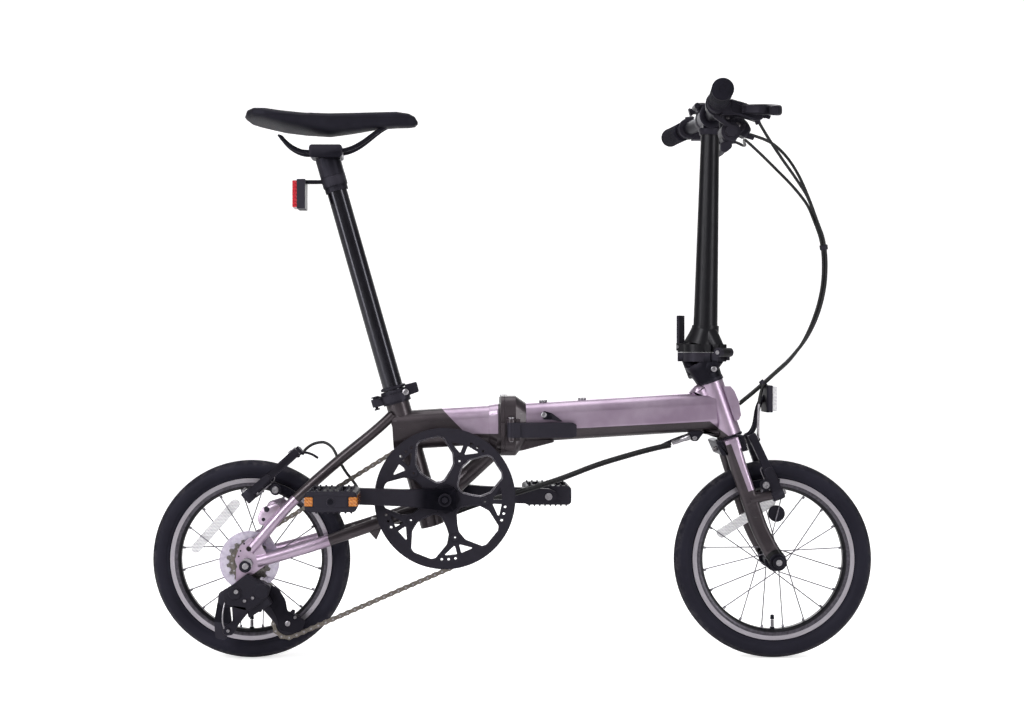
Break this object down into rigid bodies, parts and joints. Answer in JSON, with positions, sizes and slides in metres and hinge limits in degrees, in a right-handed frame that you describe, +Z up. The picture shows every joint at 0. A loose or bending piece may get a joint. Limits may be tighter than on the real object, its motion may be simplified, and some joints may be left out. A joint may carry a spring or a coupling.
{
  "type": "folding bicycle",
  "caption": "Small-wheeled folding bicycle with a hinged main frame, folding handlepost, telescopic seatpost, rim brakes and a rear derailleur.",
  "frame": {"origin": "on the ground, in the centre plane, midway along the bicycle between tyre ends", "axes": "+X forward, +Y the rider's left, +Z up"},
  "size_m": [1.18, 0.5598, 0.907],
  "materials": {
    "frame_paint": "metallic satin",
    "black_alloy": "satin",
    "black_gloss": "gloss",
    "tyre": "matt",
    "rim_alloy": "machined",
    "spoke_steel": "bright",
    "steel": "bright",
    "rubber": "matt",
    "saddle_cover": "matt",
    "plastic_black": "matt",
    "reflector_clear": "gloss",
    "chain_steel": "oiled"
  },
  "bodies": {
    "rear_frame": {"rear_frame": "frame_paint", "kickstand_plate": "frame_paint", "bottom_bracket_cups": "steel", "rear_axle": "steel", "derailleur": "black_alloy", "chain": "chain_steel", "frame_cables": "rubber", "seat_collar": "black_alloy"},
    "front_frame": {"front_frame": "frame_paint", "frame_hinge_pins": "steel", "frame_inserts": "black_alloy", "headset_bearings": "steel"},
    "fork": {"fork": "frame_paint", "stem_base": "black_alloy", "front_axle": "steel", "front_reflector": "plastic_black"},
    "handlepost": {"handlepost": "black_gloss", "handlepost_pins": "steel", "handlebar_clamp": "black_alloy", "handlebar": "black_gloss", "grips": "rubber", "brake_lever_mounts": "black_alloy", "shifter_body": "plastic_black", "cable_loop": "rubber"},
    "front_wheel": {"front_tyre": "tyre", "front_rim": "rim_alloy", "front_hub": "steel", "front_spokes": "spoke_steel", "front_wheel_reflector": "reflector_clear"},
    "rear_wheel": {"rear_tyre": "tyre", "rear_rim": "rim_alloy", "rear_hub": "steel", "rear_spokes": "spoke_steel", "rear_wheel_reflector": "reflector_clear", "spoke_protector": "reflector_clear"},
    "crankset": {"crank_arm_right": "black_alloy", "crank_arm_left": "black_alloy", "chain_guard": "black_alloy", "chainring": "black_alloy", "crank_axles": "steel"},
    "cassette": {"cassette": "chain_steel"},
    "guide_pulley": {"guide_pulley": "plastic_black"},
    "tension_pulley": {"tension_pulley": "plastic_black"},
    "pedal_right": {"pedal_right": "plastic_black"},
    "pedal_left": {"pedal_left": "plastic_black"},
    "seatpost": {"seatpost": "black_gloss", "saddle": "saddle_cover", "saddle_clamp": "black_alloy", "rear_reflector": "plastic_black"},
    "frame_latch_lever": {"frame_latch_lever": "black_alloy"},
    "frame_latch_catch": {"frame_latch_catch": "black_alloy"},
    "handlepost_latch_lever": {"handlepost_latch_lever": "black_alloy"},
    "seat_clamp_lever": {"seat_clamp_lever": "black_alloy"},
    "brake_lever_right": {"brake_lever_right": "black_alloy"},
    "brake_lever_left": {"brake_lever_left": "black_alloy"},
    "shift_lever": {"shift_lever": "plastic_black"},
    "front_brake_right": {"front_brake_right": "black_alloy"},
    "front_brake_left": {"front_brake_left": "black_alloy"},
    "rear_brake_right": {"rear_brake_right": "black_alloy"},
    "rear_brake_left": {"rear_brake_left": "black_alloy"}
  },
  "joints": [
    {"name": "frame_fold", "type": "hinge", "parent": "rear_frame", "child": "front_frame", "pos_m": [-0.013, 0.035, 0.381], "axis": [0, 0, -1], "range_deg": [-168, 0], "deforming": ["frame_cables"]},
    {"name": "steering", "type": "hinge", "parent": "front_frame", "child": "fork", "pos_m": [0.3264, 0, 0.4522], "axis": [0.3304, 0, -0.9438], "range_deg": [-45, 45]},
    {"name": "handlepost_fold", "type": "hinge", "parent": "fork", "child": "handlepost", "pos_m": [0.34255, -0.03323, 0.501], "axis": [0.7071, 0.7071, 0], "range_deg": [0, 168], "deforming": ["cable_loop"]},
    {"name": "seatpost_slide", "type": "slide", "parent": "rear_frame", "child": "seatpost", "axis": [-0.2744, 0, 0.9616], "range_m": [-0.29, 0.055]},
    {"name": "crank_spin", "type": "hinge", "parent": "rear_frame", "child": "crankset", "pos_m": [-0.1105, 0, 0.265], "axis": [0, 1, 0], "continuous": true},
    {"name": "cassette_spin", "type": "hinge", "parent": "rear_frame", "child": "cassette", "pos_m": [-0.428, -0.043, 0.162], "axis": [0, 1, 0], "continuous": true},
    {"name": "guide_pulley_spin", "type": "hinge", "parent": "rear_frame", "child": "guide_pulley", "pos_m": [-0.4065, -0.043, 0.1052], "axis": [0, 1, 0], "continuous": true},
    {"name": "tension_pulley_spin", "type": "hinge", "parent": "rear_frame", "child": "tension_pulley", "pos_m": [-0.365, -0.043, 0.0623], "axis": [0, 1, 0], "continuous": true},
    {"name": "rear_wheel_spin", "type": "hinge", "parent": "rear_frame", "child": "rear_wheel", "pos_m": [-0.428, 0, 0.162], "axis": [0, 1, 0], "continuous": true},
    {"name": "front_wheel_spin", "type": "hinge", "parent": "fork", "child": "front_wheel", "pos_m": [0.428, 0, 0.162], "axis": [0, 1, 0], "continuous": true},
    {"name": "pedal_right_spin", "type": "hinge", "parent": "crankset", "child": "pedal_right", "pos_m": [-0.28533, -0.13, 0.27263], "axis": [0, 1, 0], "continuous": true},
    {"name": "pedal_left_spin", "type": "hinge", "parent": "crankset", "child": "pedal_left", "pos_m": [0.06433, 0.13, 0.25737], "axis": [0, 1, 0], "continuous": true},
    {"name": "frame_latch", "type": "hinge", "parent": "front_frame", "child": "frame_latch_lever", "pos_m": [-0.0025, -0.037, 0.375], "axis": [0, 0, -1], "range_deg": [0, 120]},
    {"name": "latch_catch", "type": "hinge", "parent": "front_frame", "child": "frame_latch_catch", "pos_m": [0.0525, -0.02, 0.398], "axis": [0, -1, 0], "range_deg": [0, 60]},
    {"name": "handlepost_latch", "type": "hinge", "parent": "handlepost", "child": "handlepost_latch_lever", "pos_m": [0.28316, 0.02616, 0.51], "axis": [-0.7071, -0.7071, 0], "range_deg": [0, 100]},
    {"name": "seat_clamp", "type": "hinge", "parent": "rear_frame", "child": "seat_clamp_lever", "pos_m": [-0.22376, -0.017, 0.41767], "axis": [0.2744, 0, -0.9616], "range_deg": [0, 150]},
    {"name": "brake_lever_right_pull", "type": "hinge", "parent": "handlepost", "child": "brake_lever_right", "pos_m": [0.34798, -0.15016, 0.878], "axis": [0, 0, -1], "range_deg": [0, 20]},
    {"name": "brake_lever_left_pull", "type": "hinge", "parent": "handlepost", "child": "brake_lever_left", "pos_m": [0.34798, 0.15016, 0.878], "axis": [0, 0, 1], "range_deg": [0, 20]},
    {"name": "shift_lever_push", "type": "hinge", "parent": "handlepost", "child": "shift_lever", "pos_m": [0.33513, -0.145, 0.846], "axis": [0, -1, 0], "range_deg": [0, 30]},
    {"name": "front_brake_right_close", "type": "hinge", "parent": "fork", "child": "front_brake_right", "pos_m": [0.4295, -0.038, 0.2715], "axis": [-0.925, 0, -0.38], "range_deg": [0, 3.8]},
    {"name": "front_brake_left_close", "type": "hinge", "parent": "fork", "child": "front_brake_left", "pos_m": [0.4295, 0.038, 0.2715], "axis": [0.925, 0, 0.38], "range_deg": [0, 3.8]},
    {"name": "rear_brake_right_close", "type": "hinge", "parent": "rear_frame", "child": "rear_brake_right", "pos_m": [-0.427, -0.05, 0.271], "axis": [-0.6726, 0, 0.74], "range_deg": [0, 2.1]},
    {"name": "rear_brake_left_close", "type": "hinge", "parent": "rear_frame", "child": "rear_brake_left", "pos_m": [-0.427, 0.05, 0.271], "axis": [0.6726, 0, -0.74], "range_deg": [0, 2.1]}
  ],
  "couplings": [
    {"joint": "handlepost_fold", "follows": "frame_fold", "ratio": -1},
    {"joint": "cassette_spin", "follows": "crank_spin", "ratio": 4.0769},
    {"joint": "guide_pulley_spin", "follows": "crank_spin", "ratio": -4.8182},
    {"joint": "tension_pulley_spin", "follows": "crank_spin", "ratio": 4.8182},
    {"joint": "front_brake_right_close", "follows": "brake_lever_right_pull", "ratio": 0.19},
    {"joint": "front_brake_left_close", "follows": "brake_lever_right_pull", "ratio": 0.19},
    {"joint": "rear_brake_right_close", "follows": "brake_lever_left_pull", "ratio": 0.105},
    {"joint": "rear_brake_left_close", "follows": "brake_lever_left_pull", "ratio": 0.105}
  ]
}
